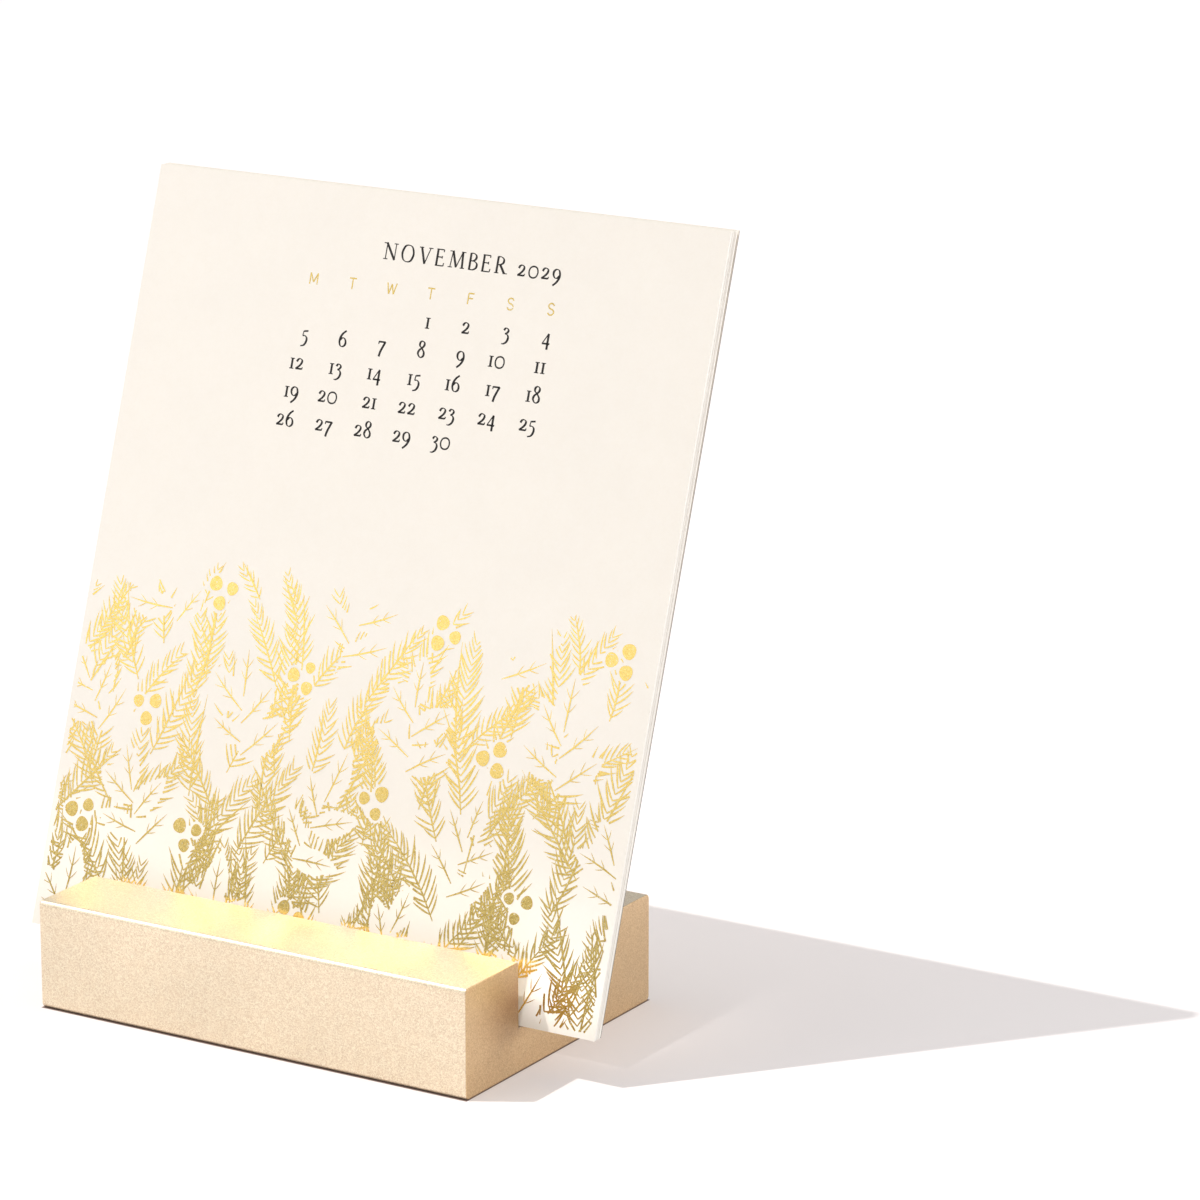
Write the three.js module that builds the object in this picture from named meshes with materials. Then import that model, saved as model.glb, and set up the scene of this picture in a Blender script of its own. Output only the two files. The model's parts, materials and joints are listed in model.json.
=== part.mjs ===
// Desk calendar: twelve loose month cards leaning back in the groove of a solid stand block.
// Millimetres, +Z up. The origin is the centre of the block's underside, +X runs along the
// groove, and the cards face -Y. The groove is open at both ends, and the cards overhang them.

import * as THREE from 'three';

// Stand block
const BLOCK_LENGTH = 114.3;
const BLOCK_DEPTH = 76.2;
const BLOCK_HEIGHT = 25.4;
const EDGE_RADIUS = 1.2;
const END_ROUNDING = 0.3;

// Groove across the block
const GROOVE_SETBACK = 21.2;
const GROOVE_WIDTH = 8.45;
const GROOVE_DEPTH = 15.2;
const MOUTH_RADIUS = 0.6;

// Month cards
const CARD_WIDTH = 152.4;
const CARD_HEIGHT = 177.8;
const CARD_THICKNESS = 0.2;

// Clearances: air between neighbouring cards at the foot, and between the stack and the groove.
const CARD_GAP = 0.03;
const SEAT_CLEARANCE = 0.3;

// Degrees by which a card stands steeper than the one behind it: next to nothing inside the
// pile, and more at the two cards behind which the pile has fallen open at the top.
const FAN_STEP = 0.005;
const OPEN_STEPS = { june: 0.1, september: 0.2 };

const ARC_STEPS = 4;

// Front card first: the month shown, the one to come, then the rest of the year behind.
const MONTHS = [
  'november', 'december', 'january', 'february', 'march', 'april',
  'may', 'june', 'july', 'august', 'september', 'october',
];

const goldPaint = new THREE.MeshStandardMaterial({ color: 0xd9b382, roughness: 0.42, metalness: 0.6 });
const cardStock = new THREE.MeshStandardMaterial({ color: 0xfbf5ea, roughness: 0.85, metalness: 0 });

const blockFront = -BLOCK_DEPTH / 2;
const blockBack = BLOCK_DEPTH / 2;
const grooveFront = blockFront + GROOVE_SETBACK;
const grooveBack = grooveFront + GROOVE_WIDTH;
const grooveFloor = BLOCK_HEIGHT - GROOVE_DEPTH;

// Section across the groove, drawn as (y, z): a rounded rectangle with the groove let into its top.
function blockSection() {
  const section = new THREE.Shape();
  const corner = (y, z, radius, start) =>
    section.absarc(y, z, radius, start * Math.PI / 2, (start + 1) * Math.PI / 2, false);
  corner(blockBack - EDGE_RADIUS, EDGE_RADIUS, EDGE_RADIUS, 3);
  corner(blockBack - EDGE_RADIUS, BLOCK_HEIGHT - EDGE_RADIUS, EDGE_RADIUS, 0);
  corner(grooveBack + MOUTH_RADIUS, BLOCK_HEIGHT - MOUTH_RADIUS, MOUTH_RADIUS, 1);
  section.lineTo(grooveBack, grooveFloor);
  section.lineTo(grooveFront, grooveFloor);
  corner(grooveFront - MOUTH_RADIUS, BLOCK_HEIGHT - MOUTH_RADIUS, MOUTH_RADIUS, 0);
  corner(blockFront + EDGE_RADIUS, BLOCK_HEIGHT - EDGE_RADIUS, EDGE_RADIUS, 1);
  corner(blockFront + EDGE_RADIUS, EDGE_RADIUS, EDGE_RADIUS, 2);
  return section;
}

// The section runs along X, and both ends are rounded over inside the block's length.
function makeBlock() {
  const geometry = new THREE.ExtrudeGeometry(blockSection(), {
    depth: BLOCK_LENGTH - 2 * END_ROUNDING,
    curveSegments: ARC_STEPS,
    bevelThickness: END_ROUNDING,
    bevelSize: END_ROUNDING,
    bevelOffset: -END_ROUNDING,
    bevelSegments: 3,
  });
  geometry.translate(0, 0, END_ROUNDING - BLOCK_LENGTH / 2);
  geometry.applyMatrix4(new THREE.Matrix4().makeBasis(
    new THREE.Vector3(0, 1, 0), new THREE.Vector3(0, 0, 1), new THREE.Vector3(1, 0, 0)));
  const block = new THREE.Mesh(geometry, goldPaint);
  block.name = 'stand_block';
  return block;
}

// Lean of the rearmost card from upright. The front of the stack starts at the foot of the
// groove's front wall, and its back touches the rounded rear lip, each less the clearance.
// Across the card, the lip's centre lies a run forward of that foot and a rise above it:
// run * cos(lean) - rise * sin(lean) = stack thickness + lip radius + clearance.
function leanAngle(stackThickness) {
  const run = GROOVE_WIDTH + MOUTH_RADIUS - SEAT_CLEARANCE;
  const rise = GROOVE_DEPTH - MOUTH_RADIUS - SEAT_CLEARANCE;
  const reach = stackThickness + MOUTH_RADIUS + SEAT_CLEARANCE;
  return Math.acos(reach / Math.hypot(run, rise)) - Math.atan2(rise, run);
}

const cardPitch = CARD_THICKNESS + CARD_GAP;
const lastCard = MONTHS.length - 1;
const rearLean = leanAngle(lastCard * cardPitch + CARD_THICKNESS);

// A card's lean is the rearmost card's, less every step between the two.
function cardLean(index) {
  const steps = MONTHS.slice(index, lastCard).map((month) => FAN_STEP + (OPEN_STEPS[month] ?? 0));
  return rearLean - THREE.MathUtils.degToRad(steps.reduce((sum, step) => sum + step, 0));
}

// A card stands on its rear bottom edge, the clearance above the groove's floor. Its frame has
// the origin at the middle of the front bottom edge, +Z up the card and +Y through it.
function makeCard(month, index) {
  const lean = cardLean(index);
  const rise = CARD_THICKNESS * Math.sin(lean);
  const foot = grooveFront + SEAT_CLEARANCE + index * cardPitch / Math.cos(rearLean);
  const geometry = new THREE.BoxGeometry(CARD_WIDTH, CARD_THICKNESS, CARD_HEIGHT);
  geometry.translate(0, CARD_THICKNESS / 2, CARD_HEIGHT / 2);
  const card = new THREE.Mesh(geometry, cardStock);
  card.name = `card_${month}`;
  card.position.set(0, foot + rise * Math.tan(lean), grooveFloor + SEAT_CLEARANCE + rise);
  card.rotation.x = -lean;
  return card;
}

const calendar = new THREE.Group();
calendar.add(makeBlock(), ...MONTHS.map(makeCard));

export default calendar;
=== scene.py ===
import datetime
import json

import bmesh
import bpy
import numpy as np
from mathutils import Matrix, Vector


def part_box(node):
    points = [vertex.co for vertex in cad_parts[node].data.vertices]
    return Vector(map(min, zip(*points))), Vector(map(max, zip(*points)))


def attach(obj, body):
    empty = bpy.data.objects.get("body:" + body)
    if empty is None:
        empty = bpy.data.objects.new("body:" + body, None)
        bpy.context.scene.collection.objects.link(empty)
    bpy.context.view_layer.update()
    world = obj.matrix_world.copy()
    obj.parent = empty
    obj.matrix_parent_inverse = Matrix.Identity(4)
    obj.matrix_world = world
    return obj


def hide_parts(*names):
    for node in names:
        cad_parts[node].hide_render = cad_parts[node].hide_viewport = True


# A desk calendar: printed month cards that lean back in the groove of a gold block.
# Everything is in metres, except that print and foil are laid out in millimetres on the
# face of a card: across from its middle, and up from its foot.

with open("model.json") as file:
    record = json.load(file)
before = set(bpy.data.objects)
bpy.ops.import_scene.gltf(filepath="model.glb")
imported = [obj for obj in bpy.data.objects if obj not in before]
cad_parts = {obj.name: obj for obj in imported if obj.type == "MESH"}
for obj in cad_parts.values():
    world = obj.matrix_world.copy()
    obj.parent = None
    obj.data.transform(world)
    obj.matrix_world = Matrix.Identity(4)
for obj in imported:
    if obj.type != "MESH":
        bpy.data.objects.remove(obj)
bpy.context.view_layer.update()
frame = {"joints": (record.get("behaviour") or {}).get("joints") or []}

MM = 0.001
YEAR = 2029

# Front card first, as the cards stand.
MONTHS = ["november", "december", "january", "february", "march", "april",
          "may", "june", "july", "august", "september", "october"]
SHOWN = MONTHS[0]

# The block's edges and its groove. A flat keeps its shading from a support line near each edge.
EDGE_RADIUS = 1.2 * MM
END_ROUNDING = 0.3 * MM
GROOVE_SETBACK = 21.2 * MM
GROOVE_WIDTH = 8.45 * MM
GROOVE_DEPTH = 15.2 * MM
MOUTH_RADIUS = 0.6 * MM
SUPPORT = 0.15 * MM

# Painted shade on the block's ends, darkest beside the groove's front lip, where the overhanging cards
# shade them: how high its middle is, how far it reaches along the block's depth, and how much shorter it is
# up and down.
PAINTED_SHADE_HEIGHT = 16.5 * MM
PAINTED_SHADE_REACH = 19.0 * MM
PAINTED_SHADE_SQUASH = 2.0


# Camera

AIM = Vector((0.0780, -0.0171, 0.1099))
CAMERA_DISTANCE = 1.1100
CAMERA_YAW = np.radians(31.575)
CAMERA_PITCH = np.radians(15.284)
LENS = 157.875
FILM = 36.0


def look_from(thing, place, aim, roll=0.0):
    """Stands a lamp or camera at a place, looking at a point, and rolls it about its own view."""
    thing.location = place
    thing.rotation_euler = (Vector(aim) - Vector(place)).to_track_quat("-Z", "Y").to_euler()
    thing.rotation_euler.rotate_axis("Z", roll)
    bpy.context.scene.collection.objects.link(thing)


def make_camera():
    """The photo's view: a long lens, to the right of the cards' faces and a little above them."""
    data = bpy.data.cameras.new("camera")
    data.lens = LENS
    data.sensor_width = FILM
    data.clip_end = 50
    towards = Vector((-np.sin(CAMERA_YAW) * np.cos(CAMERA_PITCH),
                      np.cos(CAMERA_YAW) * np.cos(CAMERA_PITCH), -np.sin(CAMERA_PITCH)))
    camera = bpy.data.objects.new("camera", data)
    look_from(camera, AIM - towards * CAMERA_DISTANCE, AIM)
    bpy.context.scene.camera = camera


# Materials

def node(tree, kind, inputs=None, **settings):
    """Adds a node. An input is given a plain value, or the output socket that feeds it."""
    made = tree.nodes.new(kind)
    for name, value in settings.items():
        setattr(made, name, value)
    for name, value in (inputs or {}).items():
        if isinstance(value, bpy.types.NodeSocket):
            tree.links.new(value, made.inputs[name])
        else:
            made.inputs[name].default_value = value
    return made


def colour(red, green, blue):
    """An opaque colour, in linear light."""
    return (red, green, blue, 1.0)


def mix_colour(tree, factor, first, second, blend="MIX"):
    """The first colour where the factor is 0 and the second where it is 1, or another blend of them."""
    made = node(tree, "ShaderNodeMix", {0: factor, 6: first, 7: second},
                data_type="RGBA", blend_type=blend)
    return made.outputs[2]


def stretch(tree, value, low, high, to_low=0.0, to_high=1.0):
    """Maps low..high onto to_low..to_high, and holds the ends."""
    made = node(tree, "ShaderNodeMapRange", {0: value, 1: low, 2: high, 3: to_low, 4: to_high})
    return made.outputs[0]


def new_group(name, inputs, outputs):
    """A shader node group with float or vector inputs and float outputs."""
    tree = bpy.data.node_groups.new(name, "ShaderNodeTree")
    for label, value in inputs.items():
        kind = "NodeSocketVector" if value is None else "NodeSocketFloat"
        socket = tree.interface.new_socket(label, in_out="INPUT", socket_type=kind)
        if value is not None:
            socket.default_value = value
    for label in outputs:
        tree.interface.new_socket(label, in_out="OUTPUT", socket_type="NodeSocketFloat")
    return tree, tree.nodes.new("NodeGroupInput").outputs, tree.nodes.new("NodeGroupOutput").inputs


def make_grain_group():
    """Grain: fine noise over coarse noise, cut to a mask between two levels, and its plain height."""
    tree, given, result = new_group(
        "grain", {"Vector": None, "Scale": 2000.0, "Coarse": 0.2, "Low": 0.4, "High": 0.6},
        ["Mask", "Height"])
    coarse_scale = node(tree, "ShaderNodeMath", {0: given["Scale"], 1: given["Coarse"]},
                        operation="MULTIPLY")
    fine = node(tree, "ShaderNodeTexNoise",
                {"Vector": given["Vector"], "Scale": given["Scale"], "Detail": 2.0})
    coarse = node(tree, "ShaderNodeTexNoise",
                  {"Vector": given["Vector"], "Scale": coarse_scale.outputs[0], "Detail": 3.0})
    both = node(tree, "ShaderNodeMath", {0: fine.outputs[0], 1: coarse.outputs[0]}, operation="ADD")
    height = node(tree, "ShaderNodeMath", {0: both.outputs[0], 1: 0.5}, operation="MULTIPLY")
    mask = node(tree, "ShaderNodeMapRange", {0: height.outputs[0], 1: given["Low"], 2: given["High"]})
    tree.links.new(mask.outputs[0], result["Mask"])
    tree.links.new(height.outputs[0], result["Height"])
    return tree


def make_drift_group():
    """Drift: a slow change over the surface, between two levels, as in paper or hand-laid paint."""
    tree, given, result = new_group(
        "drift", {"Vector": None, "Scale": 20.0, "From": 0.95, "To": 1.05}, ["Value"])
    slow = node(tree, "ShaderNodeTexNoise",
                {"Vector": given["Vector"], "Scale": given["Scale"], "Detail": 2.0})
    value = node(tree, "ShaderNodeMapRange",
                 {0: slow.outputs[0], 1: 0.3, 2: 0.7, 3: given["From"], 4: given["To"]})
    tree.links.new(value.outputs[0], result["Value"])
    return tree


GRAIN = make_grain_group()
DRIFT = make_drift_group()


def new_material(name, **sockets):
    """A material with one Principled shader. Plain values go straight on its sockets."""
    material = bpy.data.materials.new(name)
    material.use_nodes = True
    tree = material.node_tree
    shader = tree.nodes["Principled BSDF"]
    for label, value in sockets.items():
        shader.inputs[label.replace("_", " ")].default_value = value
    place = tree.nodes.new("ShaderNodeTexCoord").outputs["Object"]
    return material, tree, shader, place


def place_group(tree, group, **inputs):
    """Uses a node group in a material, and gives its outputs."""
    return node(tree, "ShaderNodeGroup", inputs, node_tree=group).outputs


def set_bump(tree, shader, height, strength, distance):
    """Lets a height between 0 and 1 raise the surface by a distance, in metres."""
    bump = node(tree, "ShaderNodeBump", {"Height": height, "Strength": strength, "Distance": distance})
    tree.links.new(bump.outputs[0], shader.inputs["Normal"])


def scaled(tree, tint, value):
    """A colour times a value that changes over the surface."""
    grey = node(tree, "ShaderNodeCombineColor", {0: value, 1: value, 2: value})
    return mix_colour(tree, 1.0, tint, grey.outputs[0], "MULTIPLY")


def make_gold_paint():
    """Satin metallic paint: bright flakes among darker ones, with a slight orange peel. The ends are deeper
    in tone, partly as end grain and partly as painted shade, and darkest beside the groove's front lip,
    which is painted shade from the overhanging cards."""
    material, tree, shader, place = new_material(
        "gold_paint", Metallic=0.6, Coat_Weight=0.8, Coat_Roughness=0.3)
    low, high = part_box("stand_block")
    flakes = node(tree, "ShaderNodeTexVoronoi", {"Vector": place, "Scale": 4200.0})
    sparkle = node(tree, "ShaderNodeSeparateColor", {0: flakes.outputs["Color"]})
    grain = place_group(tree, GRAIN, Vector=place, Scale=2600.0, Coarse=0.14, Low=0.38, High=0.62)
    drift = place_group(tree, DRIFT, Vector=place, Scale=45.0, From=0.965, To=1.03)
    flake = mix_colour(tree, sparkle.outputs[0], colour(0.72, 0.56, 0.38), colour(1.0, 0.90, 0.69))
    cover = stretch(tree, grain["Mask"], 0, 1, 0.35, 0)
    specked = mix_colour(tree, cover, flake, colour(0.96, 0.795, 0.57))
    # Painted shade: the ends are darkened, partly as end grain tone and partly as shade, and most beside
    # the groove's front lip.
    along = node(tree, "ShaderNodeSeparateXYZ", {0: place}).outputs[0]
    reach = node(tree, "ShaderNodeMath", {0: along}, operation="ABSOLUTE").outputs[0]
    end_faces = stretch(tree, reach, high.x - 0.25 * MM, high.x - 0.05 * MM)
    lip = (0.0, low.y + GROOVE_SETBACK, PAINTED_SHADE_SQUASH * PAINTED_SHADE_HEIGHT)
    squashed = node(tree, "ShaderNodeVectorMath", {0: place, 1: (0.0, 1.0, PAINTED_SHADE_SQUASH)},
                    operation="MULTIPLY").outputs[0]
    away = node(tree, "ShaderNodeVectorMath", {0: squashed, 1: lip}, operation="DISTANCE").outputs["Value"]
    end_tone_and_painted_shade = mix_colour(tree, stretch(tree, away, 0.0, PAINTED_SHADE_REACH), colour(0.43, 0.25, 0.105),
                          colour(0.722, 0.575, 0.395))
    deeper = mix_colour(tree, end_faces, colour(1, 1, 1), end_tone_and_painted_shade)
    painted = mix_colour(tree, 1.0, specked, deeper, "MULTIPLY")
    tree.links.new(scaled(tree, painted, drift["Value"]), shader.inputs["Base Color"])
    tree.links.new(stretch(tree, sparkle.outputs[1], 0, 1, 0.32, 0.46), shader.inputs["Roughness"])
    set_bump(tree, shader, grain["Height"], 0.35, 0.00006)
    return material


def make_card_stock():
    """Matte cream card: faint fibres and cloudiness, slightly uneven to the touch. The cut edges are
    painted whiter than the face, as painted light where the stack's edges catch light, each card in a tone
    of its own; the rearmost card's dark edge tone is painted shade."""
    material, tree, shader, place = new_material("card_stock", Metallic=0.0, Specular_IOR_Level=0.3)
    fibres = place_group(tree, GRAIN, Vector=place, Scale=1500.0, Coarse=0.25, Low=0.3, High=0.7)
    cloud = place_group(tree, DRIFT, Vector=place, Scale=70.0, From=0.992, To=1.006)
    cream = mix_colour(tree, fibres["Mask"], colour(0.930, 0.878, 0.795), colour(0.945, 0.898, 0.822))
    tone = node(tree, "ShaderNodeAttribute", attribute_name="edge_tone_and_shade").outputs["Fac"]
    cut = node(tree, "ShaderNodeMath", {0: tone, 1: 0.01}, operation="GREATER_THAN").outputs[0]
    # Painted light: the cut edges are whiter than the face, for light that the stack's edges catch.
    edge = scaled(tree, colour(1.0, 0.975, 0.915), tone)
    face_and_edge = mix_colour(tree, cut, cream, edge)
    tree.links.new(scaled(tree, face_and_edge, cloud["Value"]), shader.inputs["Base Color"])
    tree.links.new(stretch(tree, fibres["Height"], 0.3, 0.7, 0.74, 0.9), shader.inputs["Roughness"])
    set_bump(tree, shader, fibres["Height"], 0.2, 0.00003)
    return material


def make_gold_foil():
    """Hot-stamped foil: mirror gold broken up by the card's grain, with pinholes that show the card."""
    material, tree, shader, place = new_material("gold_foil", Metallic=1.0)
    grain = place_group(tree, GRAIN, Vector=place, Scale=5200.0, Coarse=0.35, Low=0.36, High=0.64)
    worn = place_group(tree, GRAIN, Vector=place, Scale=3600.0, Coarse=0.3, Low=0.60, High=0.66)
    gold = mix_colour(tree, grain["Mask"], colour(0.75, 0.51, 0.125), colour(0.94, 0.735, 0.29))
    worn_gold = mix_colour(tree, worn["Mask"], gold, colour(0.93, 0.87, 0.72))
    tree.links.new(worn_gold, shader.inputs["Base Color"])
    tree.links.new(stretch(tree, worn["Mask"], 0, 1, 1, 0), shader.inputs["Metallic"])
    tree.links.new(stretch(tree, grain["Height"], 0.3, 0.7, 0.15, 0.30), shader.inputs["Roughness"])
    set_bump(tree, shader, grain["Height"], 0.35, 0.00003)
    return material


def make_print_ink():
    """Near-black ink, a little thinner where the card's fibres stand up."""
    material, tree, shader, place = new_material("print_ink", Metallic=0.0, Specular_IOR_Level=0.35)
    grain = place_group(tree, GRAIN, Vector=place, Scale=4000.0, Coarse=0.3, Low=0.45, High=0.75)
    ink = mix_colour(tree, grain["Mask"], colour(0.012, 0.010, 0.010), colour(0.045, 0.040, 0.038))
    tree.links.new(ink, shader.inputs["Base Color"])
    tree.links.new(stretch(tree, grain["Height"], 0.3, 0.7, 0.5, 0.7), shader.inputs["Roughness"])
    set_bump(tree, shader, grain["Height"], 0.15, 0.00002)
    return material


CONTACT_SHADE_WIDTH = 0.3 * MM
NEAR_SHADE_WIDTH = 70.0 * MM


def make_floor_paint():
    """Pale floor. Seen by the camera or in a reflection it is white, and it keeps its shadows. Painted
    shade makes it a little deeper close to the block, and dark under the block's rounded lower edges, so
    that the line where they meet shows."""
    material, tree, shader, place = new_material("studio_floor", Roughness=0.9, Specular_IOR_Level=0.0)
    path = tree.nodes.new("ShaderNodeLightPath").outputs
    seen = node(tree, "ShaderNodeMath", {0: path["Is Camera Ray"], 1: path["Is Glossy Ray"]},
                operation="MAXIMUM").outputs[0]
    seen = node(tree, "ShaderNodeMath", {0: seen, 1: path["Is Transmission Ray"]},
                operation="MAXIMUM").outputs[0]
    _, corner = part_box("stand_block")
    outside = node(tree, "ShaderNodeVectorMath", {0: place}, operation="ABSOLUTE").outputs[0]
    outside = node(tree, "ShaderNodeVectorMath", {0: outside, 1: (corner.x, corner.y, 0.0)},
                   operation="SUBTRACT").outputs[0]
    outside = node(tree, "ShaderNodeVectorMath", {0: outside, 1: (0.0, 0.0, 0.0)},
                   operation="MAXIMUM").outputs[0]
    distance = node(tree, "ShaderNodeVectorMath", {0: outside}, operation="LENGTH").outputs["Value"]
    # Painted shade: dark under the block's edges, and a little deeper near the block.
    open_floor = stretch(tree, distance, 0.0, CONTACT_SHADE_WIDTH)
    strength = stretch(tree, open_floor, 0, 1, 0.0, 0.19)
    cloud = place_group(tree, DRIFT, Vector=place, Scale=3.0, From=0.99, To=1.0)
    tint = mix_colour(tree, open_floor, colour(0.20, 0.12, 0.09), colour(0.885, 0.835, 0.83))
    tint = scaled(tree, tint, stretch(tree, distance, 0.0, NEAR_SHADE_WIDTH, 0.94, 1.0))
    tree.links.new(scaled(tree, tint, cloud["Value"]), shader.inputs["Base Color"])
    lift = node(tree, "ShaderNodeEmission", {"Color": colour(1.0, 0.96, 0.96), "Strength": strength})
    glow = node(tree, "ShaderNodeMixShader", {0: seen, 2: lift.outputs[0]})
    both = node(tree, "ShaderNodeAddShader", {0: shader.outputs[0], 1: glow.outputs[0]})
    tree.links.new(both.outputs[0], tree.nodes["Material Output"].inputs["Surface"])
    return material


GOLD_PAINT = make_gold_paint()
CARD_STOCK = make_card_stock()
GOLD_FOIL = make_gold_foil()
PRINT_INK = make_print_ink()


# Meshes

def add_mesh(name, points, faces, material, smooth=None, merge=0.0):
    """Puts arrays of points and faces into an object at the origin. Smooth marks rounded faces."""
    mesh = bpy.data.meshes.new(name)
    faces = faces if isinstance(faces, list) else faces.tolist()
    mesh.from_pydata(np.asarray(points).tolist(), [], faces)
    if smooth is not None:
        mesh.polygons.foreach_set("use_smooth", np.broadcast_to(smooth, len(mesh.polygons)))
    if merge:
        work = bmesh.new()
        work.from_mesh(mesh)
        bmesh.ops.remove_doubles(work, verts=work.verts, dist=merge)
        work.to_mesh(mesh)
        work.free()
    mesh.materials.append(material)
    piece = bpy.data.objects.new(name, mesh)
    bpy.context.scene.collection.objects.link(piece)
    return piece


def join(pieces):
    """One point array and one face array from many pairs of them."""
    counts = np.cumsum([0] + [len(points) for points, _ in pieces])
    return (np.vstack([points for points, _ in pieces]),
            np.vstack([faces + start for (_, faces), start in zip(pieces, counts)]))


# Stand block

def block_section(front, back, height):
    """The section across the groove, going round with the solid on its left, as points (y, z) and
    the outward direction at each. Rounded corners are quarter circles, and a point a little way
    along each flat keeps the flat's shading level. The groove's floor has square corners."""
    mouth = (front + GROOVE_SETBACK, front + GROOVE_SETBACK + GROOVE_WIDTH)
    floor = height - GROOVE_DEPTH
    quarters = [
        (back - EDGE_RADIUS, EDGE_RADIUS, EDGE_RADIUS, 3),
        (back - EDGE_RADIUS, height - EDGE_RADIUS, EDGE_RADIUS, 0),
        (mouth[1] + MOUTH_RADIUS, height - MOUTH_RADIUS, MOUTH_RADIUS, 1),
        ("corner", mouth[1], floor, (-1, 1)),
        ("corner", mouth[0], floor, (1, 1)),
        (mouth[0] - MOUTH_RADIUS, height - MOUTH_RADIUS, MOUTH_RADIUS, 0),
        (front + EDGE_RADIUS, height - EDGE_RADIUS, EDGE_RADIUS, 1),
        (front + EDGE_RADIUS, EDGE_RADIUS, EDGE_RADIUS, 2),
    ]
    points, outward, rounded = [], [], []
    for quarter in quarters:
        if quarter[0] == "corner":
            points.append([quarter[1:3]])
            outward.append([quarter[3]])
            rounded.append([False])
            continue
        y, z, radius, start = quarter
        turn = np.linspace(start, start + 1, 13) * np.pi / 2
        away = np.stack([np.cos(turn), np.sin(turn)], 1)
        arc = np.array([y, z]) + radius * away
        run_in = arc[0] - SUPPORT * np.array([-away[0, 1], away[0, 0]])
        run_out = arc[-1] + SUPPORT * np.array([-away[-1, 1], away[-1, 0]])
        points.append(np.vstack([run_in, arc, run_out]))
        outward.append(np.vstack([away[0], away, away[-1]]))
        rounded.append([False] + [True] * (len(arc) - 1) + [False, False])
    return np.vstack(points), np.vstack(outward), np.concatenate(rounded)


def make_block():
    """The section carried along X. Near each end it draws in by a quarter circle, and a flat cap
    closes it."""
    low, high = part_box("stand_block")
    section, outward, rounded = block_section(low.y, high.y, high.z - low.z)
    turn = np.linspace(0, np.pi / 2, 7)
    setback = END_ROUNDING * (1 - np.sin(turn))
    inset = END_ROUNDING * (1 - np.cos(turn))
    near = [(high.x - step, draw) for step, draw in zip(setback[::-1], inset[::-1])]
    stations = near + [(high.x - END_ROUNDING - SUPPORT, 0.0), (0.0, 0.0)]
    stations += [(-x, draw) for x, draw in stations[-2::-1]]
    count = len(section)
    rings = [np.column_stack([np.full(count, x), section - draw * outward]) for x, draw in stations]
    around = np.arange(count)
    following = (around + 1) % count
    faces, smooth = [], []
    for ring in range(len(stations) - 1):
        start = ring * count
        faces += np.stack([start + around, start + following, start + count + following,
                           start + count + around], 1)[:, ::-1].tolist()
        at_end = ring < len(near) - 1 or ring >= len(stations) - len(near)
        smooth += (rounded | at_end).tolist()
    faces += [around.tolist(), ((len(stations) - 1) * count + around)[::-1].tolist()]
    smooth += [False, False]
    block = add_mesh("gold_block", np.vstack(rings), faces, GOLD_PAINT, smooth)
    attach(block, "stand")
    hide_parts("stand_block")
    return block


# Month cards

AXES = {joint["name"]: joint["axis"] for joint in frame["joints"]}
TRIM = 0.00014
# The rearmost card's edge is painted dark, as shade along the back of the stack.
REAR_EDGE_SHADE = 0.26


class Card:
    """Where a card stands, from its node's box and the direction in which it lifts."""

    def __init__(self, month):
        low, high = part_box(f"card_{month}")
        _, back, up = AXES[f"lift_{month}"]
        depth, rise = high.y - low.y, high.z - low.z
        self.width = high.x - low.x
        self.height = (up * rise - back * depth) / (up**2 - back**2)
        self.thickness = (up * depth - back * rise) / (up**2 - back**2)
        self.foot = np.array([0.0, low.y, low.z + self.thickness * back])
        self.up = np.array([0.0, back, up])
        self.face = np.array([0.0, -up, back])

    def place(self, across, up, out):
        """Points on the card, or out from its face."""
        return (self.foot + across[..., None] * np.array([1.0, 0.0, 0.0])
                + up[..., None] * self.up + out[..., None] * self.face)

    def print_on(self, flat, out):
        """Millimetres on the card's face, at a height above it, as points in the scene."""
        return self.place(flat[:, 0] * MM, flat[:, 1] * MM, np.broadcast_to(out, len(flat)))


def make_sheet(month, card, trim, tone):
    """The card: four corners in front and four behind, one thickness apart. The four cut edges
    carry their tone, and the front and the back carry zero."""
    left = -card.width / 2 + trim[0]
    right = card.width / 2 - trim[1]
    top = card.height - trim[2]
    across = np.array([left, right, right, left])
    up = np.array([0, 0, top, top])
    front = card.place(across, up, np.zeros(4))
    back = card.place(across, up, np.full(4, -card.thickness))
    corner = np.arange(4)
    following = np.roll(corner, -1)
    edge = np.stack([corner, corner + 4, following + 4, following], 1)
    faces = np.vstack([corner, corner[::-1] + 4, edge])
    sheet = add_mesh(f"sheet_{month}", np.vstack([front, back]), faces, CARD_STOCK)
    tones = np.array([0, 0, tone, tone, tone, tone], dtype=float)
    sheet.data.attributes.new("edge_tone_and_shade", "FLOAT", "FACE").data.foreach_set("value", tones)
    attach(sheet, month)
    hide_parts(f"card_{month}")


# Lettering: strokes of a broad pen

STEM = 0.56
HAIRLINE = 0.22
SERIF = 0.3
EVEN = 1.7
NIB_ANGLE = np.radians(14)
CAPITAL = 3.8
FIGURE = 2.5
INITIAL = 2.6

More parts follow.
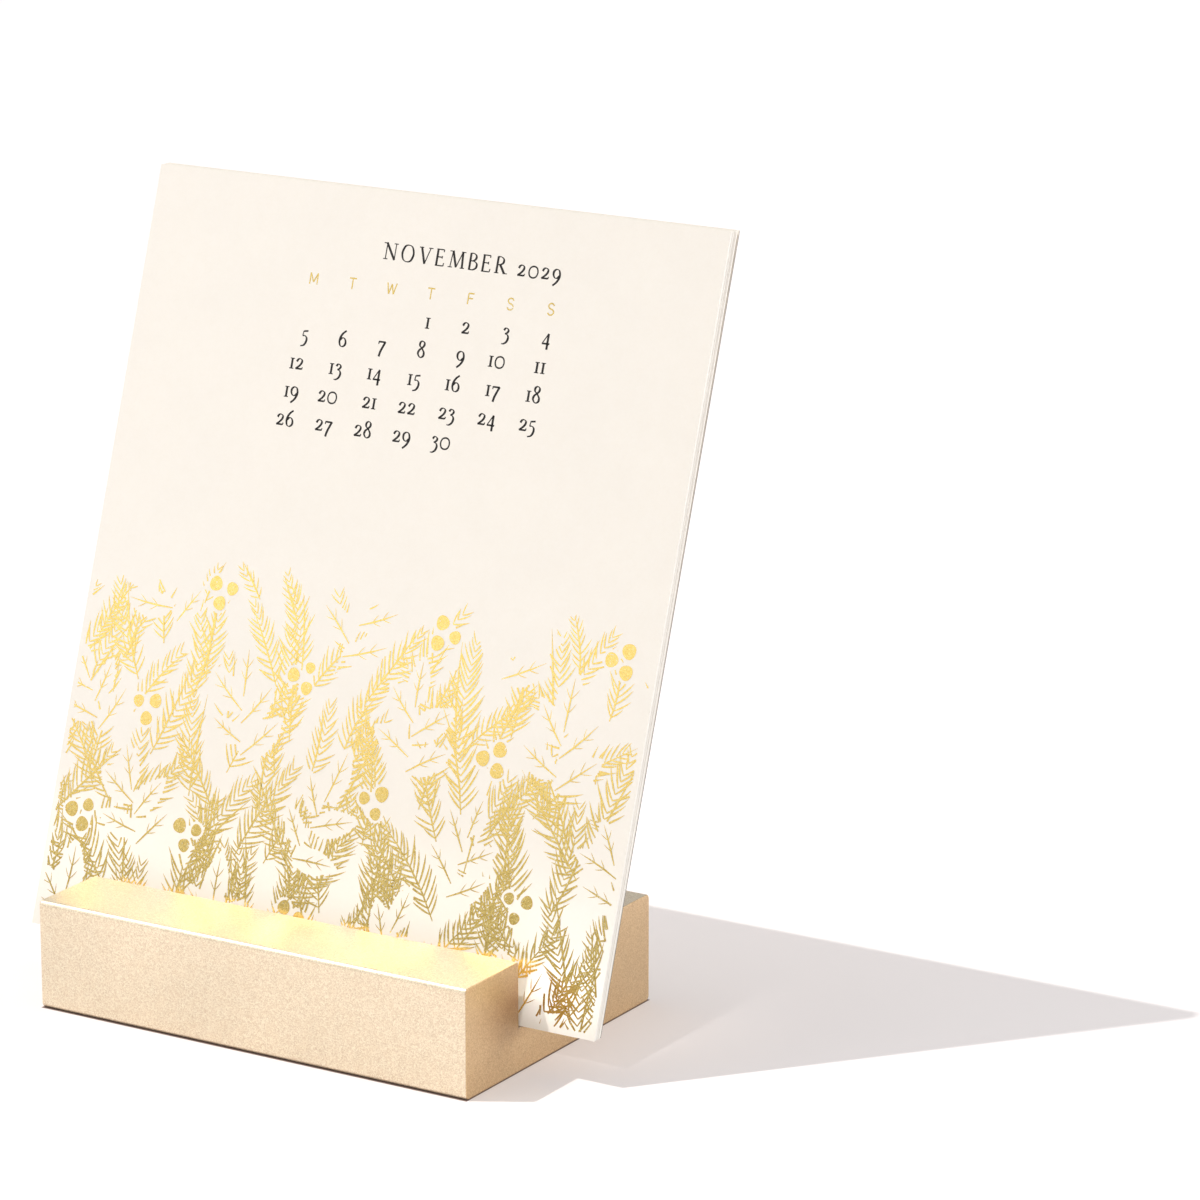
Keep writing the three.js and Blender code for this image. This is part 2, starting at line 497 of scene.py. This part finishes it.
# Each letter or figure is a list of strokes on a grid where its body is one unit high. Stem and
# thin are straight, pen is a curve whose width follows its direction, even is a curve of one thin
# width, and serif is a short level bar centred on its point.
CAPITALS = {
    "A": "thin .03,.01 .37,1|stem .36,1 .74,.01|thin .15,.35 .6,.35|serif .03,0|serif .74,0",
    "B": "stem .15,0 .15,1|pen .12,.98 .36,.98 .53,.86 .52,.67 .36,.55 .15,.54"
         "|pen .15,.54 .4,.53 .61,.41 .62,.18 .42,.03 .12,.02",
    "C": "pen .74,.78 .62,.94 .43,.985 .18,.86 .06,.53 .14,.2 .4,.015 .62,.05 .76,.2"
         "|thin .75,.97 .75,.76",
    "D": "stem .15,0 .15,1|pen .1,.98 .4,.98 .72,.85 .85,.52 .74,.17 .42,.03 .1,.02",
    "E": "stem .15,0 .15,1|thin .06,.98 .56,.98|thin .15,.53 .48,.53|thin .06,.02 .62,.02"
         "|thin .57,.99 .57,.84|thin .49,.61 .49,.45|thin .63,.01 .65,.2",
    "F": "stem .15,0 .15,1|thin .06,.98 .54,.98|thin .15,.53 .46,.53|thin .55,.99 .55,.83"
         "|thin .47,.61 .47,.45|serif .15,0",
    "G": "pen .74,.8 .62,.94 .43,.985 .18,.86 .06,.53 .14,.2 .4,.015 .64,.04 .8,.1"
         "|stem .79,.42 .79,.04|serif .79,.43|thin .75,.97 .75,.78",
    "H": "stem .15,0 .15,1|stem .78,0 .78,1|thin .15,.53 .78,.53"
         "|serif .15,0|serif .15,1|serif .78,0|serif .78,1",
    "I": "stem .16,0 .16,1|serif .16,0|serif .16,1",
    "J": "stem .2,1 .2,.02|pen .2,.05 .17,-.12 .02,-.24|serif .2,1",
    "L": "stem .15,0 .15,1|thin .06,.02 .58,.02|thin .59,.01 .61,.2|serif .15,1",
    "M": "thin .1,0 .18,1|stem .18,1 .52,.04|thin .52,.04 .87,1|stem .87,1 .94,0|serif .1,0|serif .94,0"
         "|serif .12,1|serif .93,1",
    "N": "thin .13,0 .13,1|stem .1,1 .76,.01|thin .76,0 .76,1|serif .13,0|serif .05,1|serif .76,1",
    "O": "pen .45,.995 .2,.9 .06,.5 .18,.12 .45,.005 .72,.1 .85,.5 .71,.89 .45,.995",
    "P": "stem .15,0 .15,1|pen .12,.98 .38,.98 .57,.86 .57,.61 .38,.47 .15,.47|serif .15,0",
    "R": "stem .15,0 .15,1|pen .12,.98 .36,.98 .54,.86 .54,.65 .36,.53 .15,.52|stem .34,.52 .7,.02"
         "|serif .15,0|serif .74,0",
    "S": "pen .5,.83 .4,.96 .24,.975 .09,.84 .14,.64 .32,.5 .48,.34 .5,.14 .32,.015 .15,.05 .07,.2"
         "|thin .51,.97 .51,.8|thin .06,.02 .06,.21",
    "T": "stem .38,0 .38,1|thin .06,.98 .7,.98|thin .06,1 .03,.82|thin .7,1 .73,.82|serif .38,0",
    "U": "stem .14,1 .14,.35|pen .14,.38 .18,.1 .42,.015 .64,.1 .7,.38|thin .7,.35 .7,1"
         "|serif .14,1|serif .7,1",
    "V": "stem .07,1 .41,.01|thin .41,.01 .72,1|serif .07,1|serif .72,1",
    "Y": "stem .07,1 .37,.48|thin .37,.48 .66,1|stem .37,0 .37,.5|serif .07,1|serif .66,1|serif .37,0",
}
FIGURES = {
    "0": "even .5,1.01 .17,.88 .04,.5 .17,.12 .5,-.01 .83,.12 .96,.5 .83,.88 .5,1.01",
    "1": "stem .3,0 .3,1|serif .3,0|serif .3,1",
    "2": "pen .08,.7 .2,.92 .4,1. .62,.88 .62,.64 .42,.36 .04,.05|stem .04,.08 .7,.08|thin .72,.04 .76,.26",
    "3": "pen .1,.78 .24,.97 .44,.97 .58,.8 .48,.6 .26,.47"
         "|pen .26,.48 .52,.4 .64,.14 .52,-.22 .24,-.42 .02,-.42",
    "4": "thin .56,1 .02,.07|stem .0,.08 .78,.08|stem .56,.98 .56,-.44",
    "5": "stem .2,.92 .66,.98|thin .19,.95 .13,.5|pen .12,.5 .36,.52 .58,.34 .58,-.02 .38,-.34 .04,-.44",
    "6": "pen .66,1.46 .34,1.2 .12,.82 .07,.42 .2,.08 .46,.0 .7,.18 .72,.5 .54,.76 .3,.76 .12,.58",
    "7": "stem .06,.9 .74,.9|thin .05,.96 .03,.68|pen .72,.94 .5,.44 .32,-.02 .24,-.44",
    "8": "pen .38,.84 .16,1.02 .16,1.32 .38,1.46 .6,1.32 .6,1.06 .38,.82 .14,.6 .08,.28 .34,-.01 .64,.12"
         " .68,.42 .52,.68 .38,.84",
    "9": "pen .1,-.46 .42,-.18 .64,.18 .7,.56 .57,.92 .3,1. .06,.82 .04,.5 .22,.24 .46,.24 .64,.42",
}
# The weekday initials are plain thin letters without serifs.
INITIALS = {
    "M": "even .08,0 .08,1|even .08,1 .46,.2|even .46,.2 .84,1|even .84,1 .84,0",
    "T": "even .04,.96 .78,.96|even .41,.96 .41,0",
    "W": "even .02,1 .26,.02|even .26,.02 .5,.9|even .5,.9 .74,.02|even .74,.02 .98,1",
    "F": "even .1,0 .1,.96|even .1,.96 .66,.96|even .1,.52 .58,.52",
    "S": "even .68,.82 .5,.98 .26,.97 .12,.77 .26,.56 .54,.47 .7,.26 .56,.04 .3,.01 .1,.17",
}


def along_path(path):
    """The direction of travel at each point of a path, all round where the path is closed."""
    along = np.gradient(path, axis=0)
    if len(path) > 2 and np.allclose(path[0], path[-1]):
        along[[0, -1]] = (path[1] - path[-2]) / 2
    return along / np.linalg.norm(along, axis=1, keepdims=True)


def spline(points, steps):
    """Catmull-Rom curve through the points, closed where the last point is the first."""
    closed = len(points) > 2 and np.allclose(points[0], points[-1])
    before = points[-2] if closed else 2 * points[0] - points[1]
    after = points[1] if closed else 2 * points[-1] - points[-2]
    line = np.vstack([before, points, after])[:, None]
    t = np.linspace(0, 1, steps, endpoint=False)[:, None]
    a, b, c, d = line[:-3], line[1:-2], line[2:-1], line[3:]
    path = (b + t * (c - a) / 2 + t**2 * (2 * a - 5 * b + 4 * c - d) / 2
            + t**3 * (3 * b - a - 3 * c + d) / 2)
    return np.vstack([path.reshape(-1, 2), points[-1]])


def ribbon(path, width):
    """Strip of quads: each point of the path moves half the width to either side, square to it."""
    along = along_path(path)
    side = np.stack([-along[:, 1], along[:, 0]], 1) * np.broadcast_to(width, len(path))[:, None] / 2
    first = np.arange(len(path) - 1)
    return (np.vstack([path + side, path - side]),
            np.stack([first, first + len(path), first + len(path) + 1, first + 1], 1))


def pen_width(path, stem, hairline):
    """A broad nib's trace: thin along the nib's own angle, and full across it."""
    along = along_path(path)
    turn = np.arctan2(along[:, 1], along[:, 0]) + NIB_ANGLE
    return hairline + (stem - hairline) * np.abs(np.sin(turn)) ** 1.6


def draw_stroke(stroke, height, stem, hairline):
    """The ribbon of one stroke. A level stem is drawn thinner, as a broad pen does."""
    kind, *spots = stroke.split()
    points = np.array([[float(value) for value in spot.split(",")] for spot in spots]) * height
    if kind == "serif":
        x, y = points[0]
        y += -hairline / 2 if y > height / 2 else hairline / 2
        reach = stem / 2 + SERIF
        return ribbon(np.array([[x - reach, y], [x + reach, y]]), hairline)
    if kind in ("pen", "even") and len(points) > 2:
        path = spline(points, 4)
        return ribbon(path, pen_width(path, stem, hairline) if kind == "pen" else EVEN * hairline)
    level = abs(points[0, 1] - points[1, 1]) < 0.12 * height
    upright = 0.72 * stem if level else stem
    widths = {"stem": upright, "thin": 1.25 * hairline, "even": EVEN * hairline}
    return ribbon(points, widths[kind])


def draw_sign(table, sign, height, stem=STEM, hairline=HAIRLINE):
    """The ribbons of one letter or figure with its left end at zero, and its width."""
    strokes = [draw_stroke(stroke, height, stem, hairline) for stroke in table[sign].split("|")]
    left = min(points[:, 0].min() for points, _ in strokes)
    right = max(points[:, 0].max() for points, _ in strokes)
    return [(points - [left, 0], faces) for points, faces in strokes], right - left


def set_line(text, table, height, gap, right, baseline, **pen):
    """A line of signs that ends at a right edge, and where its left end comes."""
    signs = [draw_sign(table, sign, height, **pen) for sign in text]
    left = right - sum(width for _, width in signs) - gap * (len(signs) - 1)
    x = left
    placed = []
    for strokes, width in signs:
        placed += [(points + [x, baseline], faces) for points, faces in strokes]
        x += width + gap
    return placed, left


RIGHT_EDGE = 35.5
HEADING_LINE = 162.4
INITIAL_LINE = 154.7
FIRST_ROW = 148.1
ROW_PITCH = 6.52
COLUMN_PITCH = 10.57
COLUMN_MIDDLE = 1.05
HEADING_SPACE = 2.6
INK_HEIGHT = 7e-6
LAYER = 2.5e-7


def stack_up(strokes, card, lowest, step):
    """Puts each stroke at its own height above the card, a little over the one before."""
    placed = []
    for order, (flat, faces) in enumerate(strokes):
        placed.append((card.print_on(flat, lowest + order * step), faces))
    return join(placed)


def print_month(month, card):
    """The heading, and the numbers in seven columns that start on a Monday."""
    number = datetime.datetime.strptime(month, "%B").month
    first = datetime.date(YEAR, number, 1)
    following = datetime.date(YEAR + number // 12, number % 12 + 1, 1)
    year, left = set_line(str(YEAR), FIGURES, FIGURE, 0.75, RIGHT_EDGE, HEADING_LINE)
    heading, _ = set_line(month.upper(), CAPITALS, CAPITAL, 1.05, left - HEADING_SPACE, HEADING_LINE)
    strokes = year + heading
    for day in range(1, (following - first).days + 1):
        row, column = divmod(first.weekday() + day - 1, 7)
        right = RIGHT_EDGE - (6 - column) * COLUMN_PITCH
        figures, _ = set_line(str(day), FIGURES, FIGURE, 0.42, right, FIRST_ROW - row * ROW_PITCH)
        strokes += figures
    points, faces = stack_up(strokes, card, INK_HEIGHT, LAYER / 20)
    ink = add_mesh(f"print_{month}", points, faces, PRINT_INK)
    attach(ink, month)


def draw_initials():
    """The weekday initials, each centred over its column."""
    strokes = []
    for column, sign in enumerate("MTWTFSS"):
        _, width = draw_sign(INITIALS, sign, INITIAL)
        right = RIGHT_EDGE - COLUMN_MIDDLE - (6 - column) * COLUMN_PITCH + width / 2
        line, _ = set_line(sign, INITIALS, INITIAL, 0, right, INITIAL_LINE, hairline=0.20)
        strokes += line
    return strokes


# Foil leaves

MARGIN = 1.4
FOIL_TOP = 90
SPRIG_ROWS = [(2.0, 0.0), (27.0, 21.0), (53.0, 4.0), (76.0, 24.0)]
SPRIG_PITCH = 42.0
SCRAP = 0.35
FOIL_HEIGHT = 5e-6
FOIL_RANGE = 17e-6
FRONT_FOIL_RANGE = 50e-6
GOLDEN = 0.6180339887


def turn_to(angle):
    """Unit vectors along an angle that is measured from straight up, and square to it."""
    along = np.stack([np.sin(angle), np.cos(angle)], -1)
    return along, np.stack([along[..., 1], -along[..., 0]], -1)


def leaf_shape(way):
    """Half width of a leaf at a way along it, as a share of its widest: a sine arch, fuller near
    the foot and drawn out at the tip."""
    return np.sin(np.pi * np.clip(way, 0, 1) ** 0.82) ** 0.85


def inside_leaves(points, leaves):
    """True where a point lies in a leaf. A leaf's middle line bends as the square of the way along."""
    if not len(leaves):
        return np.zeros(len(points), bool)
    along, across = turn_to(leaves[:, 2])
    offset = points[:, None] - leaves[None, :, :2]
    way = (offset * along).sum(-1) / leaves[:, 3]
    side = (offset * across).sum(-1) - leaves[:, 5] * leaves[:, 3] * way**2
    hit = (way > 0) & (way < 1) & (np.abs(side) < leaves[:, 4] * leaf_shape(way))
    return hit.any(1)


def grow_sprigs(random):
    """Sprigs of broad leaves, left bare in the foil. Each leaf is a row: foot across, foot up, turn,
    length, half width, bend. A leaf that would run into an earlier sprig is left out."""
    leaves = []
    stems = []
    for up, shift in SPRIG_ROWS:
        for across in np.arange(-70, 75, SPRIG_PITCH) + shift:
            lean = random.uniform(-0.55, 0.55)
            foot = np.array([across + random.uniform(-4, 4), up + random.uniform(-4, 4) - 8])
            reach = random.uniform(15, 20)
            bend = random.uniform(-0.2, 0.2)
            along, side = turn_to(np.array(lean))
            earlier = np.array(leaves)
            spots = [(1.0, 0.0), (0.25, 1.0), (0.42, -1.0), (0.66, 0.9), (0.82, -0.8)]
            for way, spread in spots:
                root = foot + reach * (way * along + bend * way**2 * side)
                angle = lean + 2 * bend * way + spread * random.uniform(0.85, 1.1)
                length = random.uniform(10.5, 14.5)
                half_width = length * random.uniform(0.23, 0.27)
                leaf = [*root, angle, length, half_width, random.uniform(-0.12, 0.12)]
                middle = root + length * np.linspace(0.25, 1.05, 7)[:, None] * turn_to(np.array(angle))[0]
                if not inside_leaves(middle, earlier).any():
                    leaves.append(leaf)
            stems.append([*foot, lean, reach, 0.5, bend])
    return np.array(leaves), np.array(stems)


def grow_fronds(random, top, pitch, rise, spacing):
    """Ferns on a staggered, shaken grid: a bent stem with paired narrow leaflets. They are shorter
    and fewer towards the top. Stroke rows: foot across, foot up, turn, length, width, bend."""
    rows = []
    levels = np.arange(-16, FOIL_TOP + 2, rise)
    for level, base in enumerate(levels):
        for across in np.arange(-84, 88, pitch) + (level % 2) * pitch / 2:
            x = across + random.uniform(-0.4, 0.4) * pitch
            y = base + random.uniform(-0.4, 0.4) * rise
            room = top(x) + random.uniform(-7, 4) - y
            reach = min(random.uniform(17, 28), room)
            keep = random.uniform() < 0.96 - 0.5 * max(y, 0) / FOIL_TOP
            if reach < 7 or not keep:
                continue
            lean = random.uniform(-0.75, 0.75)
            bend = random.uniform(-0.25, 0.25)
            along, side = turn_to(np.array(lean))
            rows.append([[x, y, lean, reach, 0.5, bend]])
            way = np.arange(0.06, 0.985, spacing / reach)
            for hand in (-1, 1):
                root = np.array([x, y]) + reach * (way[:, None] * along + bend * way[:, None]**2 * side)
                angle = lean + 2 * bend * way + hand * (0.95 - 0.35 * way)
                length = (0.20 * reach + 1.6) * (0.30 + 0.70 * np.sin(np.pi * (0.22 + 0.74 * way)))
                rows.append(np.column_stack([root, angle, length, 0.22 + 0.045 * length,
                                             np.full(len(way), -0.16 * hand)]))
    strokes = np.vstack(rows)
    strokes[:, 2] += random.normal(0, 0.10, len(strokes))
    strokes[:, 3] *= random.uniform(0.75, 1.15, len(strokes))
    return strokes


def draw_strokes(strokes, open_ground, cells):
    """Quads of many tapering strokes at once. A stroke runs straight from its foot and bends as the
    square of the way; its width is a sine arch. Where its middle line enters closed ground the
    stroke stops, at a point found by halving. A stroke that keeps only a scrap is left out."""
    along, side = turn_to(strokes[:, 2])
    foot, length, width, bend = strokes[:, :2], strokes[:, 3], strokes[:, 4], strokes[:, 5]

    def middle(row, way):
        sideways = (bend[row] * way**2)[:, None] * side[row]
        return foot[row] + length[row, None] * (way[:, None] * along[row] + sideways)

    row = np.repeat(np.arange(len(strokes)), cells)
    cell = np.tile(np.arange(cells), len(strokes))
    start, end = cell / cells, (cell + 1) / cells
    start_open, end_open = open_ground(middle(row, start)), open_ground(middle(row, end))
    kept = start_open | end_open
    row, start, end = row[kept], start[kept], end[kept]
    start_open, end_open = start_open[kept], end_open[kept]
    cut = start_open != end_open
    sound = np.where(start_open, start, end)
    lost = np.where(start_open, end, start)
    for _ in range(7):
        half = (sound + lost) / 2
        clear = open_ground(middle(row, half))
        sound, lost = np.where(clear, half, sound), np.where(clear, lost, half)
    start = np.where(cut & ~start_open, sound, start)
    end = np.where(cut & ~end_open, sound, end)
    shown = np.bincount(row, end - start, len(strokes))[row]
    row, start, end = row[shown > SCRAP], start[shown > SCRAP], end[shown > SCRAP]
    corners = []
    for way, hand in ((start, -1), (end, -1), (end, 1), (start, 1)):
        direction = along[row] + 2 * (bend[row] * way)[:, None] * side[row]
        direction /= np.linalg.norm(direction, axis=1, keepdims=True)
        square = np.stack([direction[:, 1], -direction[:, 0]], 1)
        half_width = width[row] / 2 * (0.10 + 0.90 * np.sin(np.pi * (0.14 + 0.86 * way)) ** 0.8)
        corners.append(middle(row, way) - hand * half_width[:, None] * square)
    points = np.stack(corners, 1)
    order = np.argsort(row, kind="stable")
    return points[order], row[order]


def vein_strokes(leaves):
    """A midrib up the middle of each bare leaf, and two short veins to either side."""
    every = np.ones(len(leaves))
    rows = [np.column_stack([leaves[:, :3], 0.86 * leaves[:, 3], 0.45 * every, 0.86 * leaves[:, 5]])]
    along, side = turn_to(leaves[:, 2])
    for way in (0.3, 0.52):
        for hand in (-1, 1):
            sideways = (leaves[:, 5] * way**2)[:, None] * side
            root = leaves[:, :2] + leaves[:, 3:4] * (way * along + sideways)
            angle = leaves[:, 2] + 2 * leaves[:, 5] * way + hand * 0.72
            reach = leaves[:, 4] * leaf_shape(way) * 0.85
            rows.append(np.column_stack([root, angle, reach, 0.22 * every, -0.12 * hand * every]))
    return np.vstack(rows)


def foil_top(x):
    """Upper limit of the foil across the card: long low swells."""
    return FOIL_TOP + 4 * np.sin(x * 0.052 + 2.0) + 3.0 * np.sin(x * 0.13 + 0.5)


def grow_berries(random, leaves, stems):
    """Round berries in threes, in the free ground between the sprigs: across, up, radius."""
    berries = []
    shut = np.vstack([leaves, stems])
    ring_round = 2.8 * np.stack([np.cos(np.arange(8)), np.sin(np.arange(8))], 1)
    for _ in range(900):
        middle = np.array([random.uniform(-68, 68), random.uniform(8, 84)])
        if len(berries) and (np.linalg.norm(np.array(berries)[:, :2] - middle, axis=1) < 26).any():
            continue
        turn = random.uniform(0, 2 * np.pi) + np.arange(3) * 2 * np.pi / 3
        spots = middle + 2.7 * np.stack([np.cos(turn), np.sin(turn)], 1)
        ring = (spots[:, None] + ring_round).reshape(-1, 2)
        if not inside_leaves(ring, shut).any():
            berries += [[*spot, random.uniform(1.3, 1.8)] for spot in spots]
    return np.array(berries)


def draw_berries(berries):
    """Each berry is a ring of quads between its middle, a hair wide, and a slightly uneven rim."""
    turn = np.linspace(0, 2 * np.pi, 19)[:-1]
    rim = 1 + 0.05 * np.sin(3 * turn[None] + berries[:, :1])
    unit = np.stack([np.cos(turn), np.sin(turn)], 1)
    outer = berries[:, None, :2] + berries[:, 2, None, None] * rim[..., None] * unit
    inner = berries[:, None, :2] + 0.02 * berries[:, 2, None, None] * unit
    following = np.roll(np.arange(len(turn)), -1)
    quads = np.stack([inner, outer, outer[:, following], inner[:, following]], 2).reshape(-1, 4, 2)
    return quads, np.repeat(np.arange(len(berries)), len(turn))


def stamp_foil(month, card, seed, pitch, rise, spacing, cells, thickness):
    """The card's foil: fern ground, veins of the bare leaves, berries and weekday initials. Each
    stroke lies at its own height. The golden ratio keeps strokes that are drawn one after the
    other, and so cross, well apart."""
    random = np.random.default_rng(seed)
    leaves, stems = grow_sprigs(random)
    berries = grow_berries(random, leaves, stems)
    shut = np.vstack([leaves, stems])
    half = card.width / MM / 2 - MARGIN

    def on_card(points):
        return (np.abs(points[:, 0]) < half) & (points[:, 1] > MARGIN)

    def open_ground(points):
        clear = on_card(points) & ~inside_leaves(points, shut)
        for x, y, radius in berries:
            clear &= np.hypot(points[:, 0] - x, points[:, 1] - y) > radius + 0.7
        return clear

    ground = draw_strokes(grow_fronds(random, foil_top, pitch, rise, spacing), open_ground, cells)
    tips = leaves[:, :2] + leaves[:, 3:4] * turn_to(leaves[:, 2])[0]
    low_leaves = leaves[tips[:, 1] < foil_top(tips[:, 0]) - 3]
    veins = draw_strokes(vein_strokes(low_leaves), on_card, 3)
    discs = draw_berries(berries)
    layers, start = [], 0
    for quads, owner in (ground, veins, discs):
        if len(quads):
            layers.append((quads, owner + start))
            start += owner.max() + 1
    quads = np.concatenate([part for part, _ in layers])
    owner = np.concatenate([part for _, part in layers])
    heights = FOIL_HEIGHT + thickness * (owner * GOLDEN % 1)
    points = card.print_on(quads.reshape(-1, 2), np.repeat(heights, 4))
    faces = np.arange(len(points)).reshape(-1, 4)
    points, faces = join([(points, faces), stack_up(draw_initials(), card, FOIL_HEIGHT, LAYER)])
    foil = add_mesh(f"foil_{month}", points, faces, GOLD_FOIL, merge=2e-8)
    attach(foil, month)


def make_cards():
    """Dresses every card. The front one has the dense foil, and those behind it a coarser one. The
    front card is cut full size, and the others differ a little."""
    random = np.random.default_rng(5)
    for order, month in enumerate(MONTHS):
        card = Card(month)
        trim = random.uniform(0, TRIM, 3) * (order > 0)
        # The rearmost card's edge tone is painted shade; the others differ at random.
        tone = REAR_EDGE_SHADE if month == MONTHS[-1] else random.uniform(0.93, 1.0)
        make_sheet(month, card, trim, tone)
        print_month(month, card)
        if month == SHOWN:
            stamp_foil(month, card, seed=16, pitch=9.6, rise=9.6, spacing=1.5, cells=4,
                       thickness=FRONT_FOIL_RANGE)
        else:
            stamp_foil(month, card, seed=40 + order, pitch=16.0, rise=15.0, spacing=2.4, cells=2,
                       thickness=FOIL_RANGE)


# Studio

KEY_DIRECTION = Vector((0.442, 0.249, -0.862))
STRIP = Vector((-0.240, -0.355, 0.217))
OVERHEAD = Vector((-0.74, -0.50, 0.80))
CARD_MIDDLE = Vector((0.0, 0.013, 0.095))
CREAM_LIGHT = (1.0, 0.99, 0.965)
FLOOR_REACH = 12.0
FLOOR_DROP = 0.02 * MM


def add_lamp(name, kind, place, aim, power, tint, roll=0.0, **settings):
    """A lamp at a place, shining at a point."""
    data = bpy.data.lights.new(name, kind)
    data.energy = power
    data.color = tint
    for label, value in settings.items():
        setattr(data, label, value)
    look_from(bpy.data.objects.new(name, data), place, aim, roll)


def make_studio():
    """A floor, one hard key light, a strip light that the foil mirrors, and even light all round. Two
    weak, narrow lights reach the foot of the cards, where the block hides the bright floor."""
    corners = FLOOR_REACH * np.array([[-1, -1], [1, -1], [1, 1], [-1, 1]])
    points = np.column_stack([corners, np.full(4, -FLOOR_DROP)])
    floor = add_mesh("floor", points, np.array([[0, 1, 2, 3]]), make_floor_paint())
    add_lamp("key", "SUN", -KEY_DIRECTION, (0, 0, 0), 1.84, (1.0, 0.985, 0.965), angle=np.radians(0.7))
    add_lamp("strip", "AREA", STRIP, CARD_MIDDLE, 0.13, (1.0, 0.99, 0.97), np.radians(16),
             shape="RECTANGLE", size=0.36, size_y=0.13)
    add_lamp("overhead", "AREA", CARD_MIDDLE + OVERHEAD, CARD_MIDDLE, 1.6, (1.0, 0.99, 0.98),
             shape="RECTANGLE", size=1.0, size_y=1.0)
    add_lamp("side_fill", "AREA", (1.12, 0.64, 0.36), CARD_MIDDLE, 6.9, (1.0, 0.99, 0.98),
             shape="RECTANGLE", size=0.45, size_y=0.45)
    add_lamp("foot_light", "AREA", (0.0, -0.55, 0.42), (0.0, -0.011, 0.026), 0.0026, CREAM_LIGHT,
             shape="RECTANGLE", size=0.17, size_y=0.012, spread=np.radians(4.0))
    add_lamp("corner_light", "AREA", (0.0665, -0.55, 0.42), (0.0655, -0.014, 0.019), 0.00027, CREAM_LIGHT,
             shape="RECTANGLE", size=0.018, size_y=0.012, spread=np.radians(1.0))
    world = bpy.data.worlds.new("studio")
    bpy.context.scene.world = world
    world.use_nodes = True
    background = world.node_tree.nodes["Background"].inputs
    background["Color"].default_value = colour(0.97, 0.985, 1.0)
    background["Strength"].default_value = 0.485
    bpy.context.scene.view_settings.view_transform = "Standard"


make_camera()
make_block()
make_cards()
make_studio()
